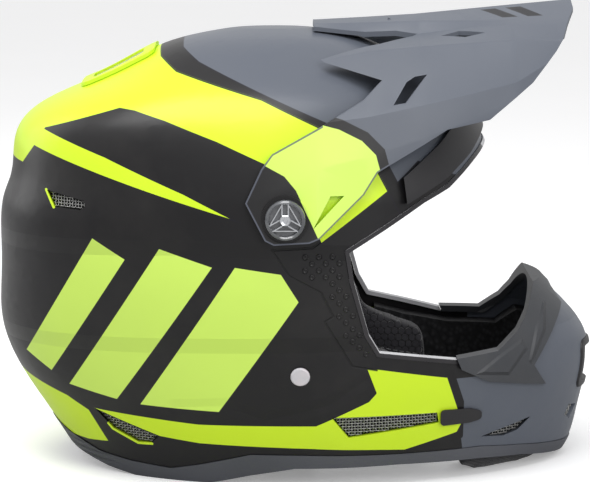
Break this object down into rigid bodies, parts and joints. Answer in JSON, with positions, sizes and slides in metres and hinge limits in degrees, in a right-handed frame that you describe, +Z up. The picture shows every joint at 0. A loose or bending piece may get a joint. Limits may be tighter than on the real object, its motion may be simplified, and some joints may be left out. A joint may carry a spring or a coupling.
{
  "type": "motocross helmet",
  "caption": "Full-face off-road helmet with chin bar, tilting visor, mesh vents, two-part impact liner, pads and chin strap.",
  "frame": {"origin": "under the middle of the helmet, on the surface it stands on", "axes": "+X towards the wearer's front, +Y towards the wearer's left, +Z up"},
  "size_m": [0.3626, 0.2646, 0.2794],
  "materials": {
    "shell_finish": "satin clear coat over neon yellow, blue-grey and black paint",
    "visor_plastic": "satin moulded plastic with painted panels",
    "trim_rubber": "moulded rubber trim",
    "guard_rubber": "soft-touch rubber",
    "foam": "expanded polystyrene beads",
    "damper_rubber": "soft elastomer",
    "padding": "knitted wicking fabric over foam",
    "vent_mesh": "woven wire mesh",
    "vent_plastic": "moulded plastic",
    "webbing": "woven webbing",
    "steel": "polished steel",
    "screw_clear": "tinted clear polycarbonate",
    "snap_plastic": "moulded plastic"
  },
  "bodies": {
    "shell_body": {"outer_shell": "shell_finish", "base_trim": "trim_rubber", "eyeport_edging": "trim_rubber", "nose_guard": "guard_rubber", "outer_liner": "foam", "chin_bar_foam": "foam", "dampers": "damper_rubber", "cheek_pad_left": "padding", "cheek_pad_right": "padding", "cheek_pad_snaps": "snap_plastic", "neck_roll": "padding", "chin_skirt": "padding", "jaw_grille_left": "vent_mesh", "jaw_grille_right": "vent_mesh", "chin_side_grille_left": "vent_mesh", "chin_side_grille_right": "vent_mesh", "rear_side_grille_left": "vent_mesh", "rear_side_grille_right": "vent_mesh", "nape_grille_left": "vent_mesh", "nape_grille_right": "vent_mesh", "chin_front_grilles": "vent_mesh", "mouth_grille": "vent_mesh", "mouth_vent_frame": "vent_plastic", "vent_tab_left": "vent_plastic", "vent_tab_right": "vent_plastic", "crown_vent_frame": "vent_plastic", "crown_vent_grilles": "vent_mesh", "brow_intake": "vent_plastic", "visor_insert_left": "steel", "visor_insert_right": "steel", "centre_post": "steel", "strap_rivet_left": "steel", "strap_rivet_right": "steel", "chin_strap_left": "webbing", "chin_strap_right": "webbing", "strap_snap": "snap_plastic"},
    "visor_body": {"visor": "visor_plastic"},
    "inner_liner_body": {"inner_liner": "foam", "crown_pad": "padding"},
    "visor_screw_left_body": {"visor_screw_left": "screw_clear"},
    "visor_screw_right_body": {"visor_screw_right": "screw_clear"},
    "visor_centre_screw_body": {"visor_centre_screw": "steel"},
    "d_ring_front_body": {"d_ring_front": "steel"},
    "d_ring_rear_body": {"d_ring_rear": "steel"}
  },
  "joints": [
    {"name": "visor_tilt", "type": "hinge", "parent": "shell_body", "child": "visor_body", "pos_m": [-0.0055, 0, 0.162], "axis": [0, 1, 0], "range_deg": [-6, 4]},
    {"name": "visor_screw_left_turn", "type": "hinge", "parent": "shell_body", "child": "visor_screw_left_body", "pos_m": [-0.0055, 0.12, 0.162], "axis": [0, 1, 0], "continuous": true},
    {"name": "visor_screw_right_turn", "type": "hinge", "parent": "shell_body", "child": "visor_screw_right_body", "pos_m": [-0.0055, -0.12, 0.162], "axis": [0, -1, 0], "continuous": true},
    {"name": "visor_centre_screw_turn", "type": "hinge", "parent": "shell_body", "child": "visor_centre_screw_body", "pos_m": [0.08006, 0, 0.24756], "axis": [0.7071, 0, 0.7071], "continuous": true},
    {"name": "inner_liner_turn", "type": "hinge", "parent": "shell_body", "child": "inner_liner_body", "pos_m": [-0.03, 0, 0.15], "axis": [0, 0, 1], "range_deg": [-2.5, 2.5], "stiffness_Nm_per_rad": 20, "deforming": ["dampers"]},
    {"name": "d_ring_front_swing", "type": "hinge", "parent": "shell_body", "child": "d_ring_front_body", "pos_m": [0.003, -0.0404, 0.0064], "axis": [1, 0, 0], "range_deg": [0, 45]},
    {"name": "d_ring_rear_swing", "type": "hinge", "parent": "shell_body", "child": "d_ring_rear_body", "pos_m": [0.003, -0.0446, 0.0064], "axis": [1, 0, 0], "range_deg": [0, 20]}
  ]
}
